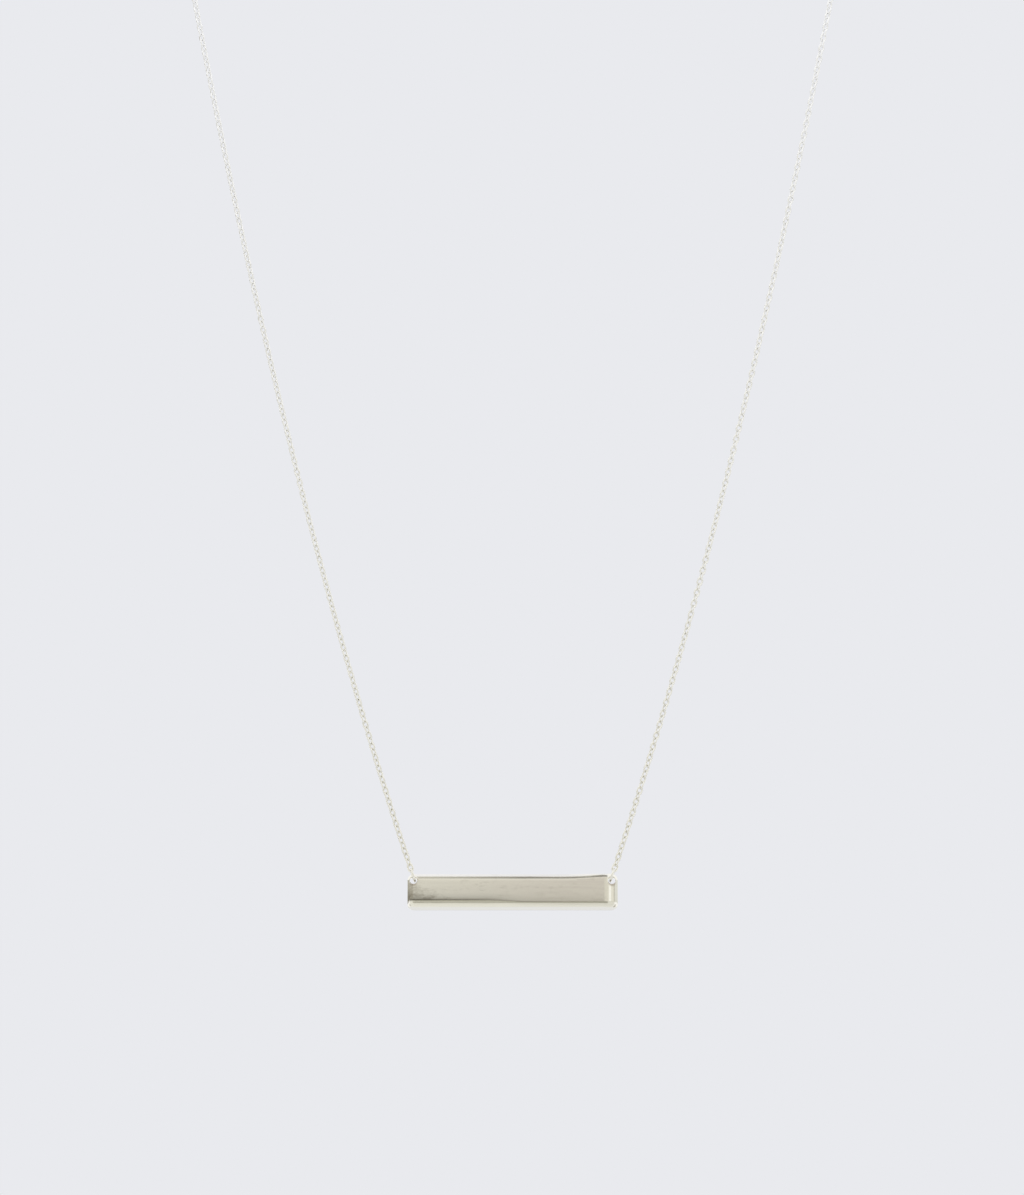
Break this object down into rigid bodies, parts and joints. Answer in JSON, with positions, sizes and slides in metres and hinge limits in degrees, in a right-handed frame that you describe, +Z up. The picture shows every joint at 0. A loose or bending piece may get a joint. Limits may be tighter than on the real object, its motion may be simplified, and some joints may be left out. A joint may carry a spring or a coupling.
{
  "type": "plate necklace",
  "caption": "Slim rounded bar plate hung by its upper corners from a fine cable chain loop that closes with a spring ring clasp at the nape.",
  "frame": {"origin": "at the nape, in the middle of the clasp's ring, where the loop hangs from a neck or a hook", "axes": "+Z up, +X to the right as seen from the front, +Y from the plate back to the nape, so the front faces -Y"},
  "size_m": [0.1034, 0.0506, 0.1858],
  "materials": {
    "plate_silver": "polished sterling silver with faint polishing lines",
    "chain_silver": "bright drawn silver wire",
    "clasp_silver": "polished sterling silver"
  },
  "bodies": {
    "necklace": {"ring_left": "chain_silver", "ring_right": "chain_silver", "front_link_left": "chain_silver", "front_link_right": "chain_silver", "chain_left": "chain_silver", "chain_right": "chain_silver", "neck_chain_left": "chain_silver", "neck_chain_right": "chain_silver", "back_link_left": "chain_silver", "back_link_right": "chain_silver", "clasp": "clasp_silver", "end_ring": "clasp_silver"},
    "pendant": {"plate": "plate_silver"}
  },
  "joints": [
    {"name": "plate_swing", "type": "hinge", "parent": "necklace", "child": "pendant", "pos_m": [0, -0.048, -0.17715], "axis": [1, 0, 0], "range_deg": [-90, 90]}
  ]
}
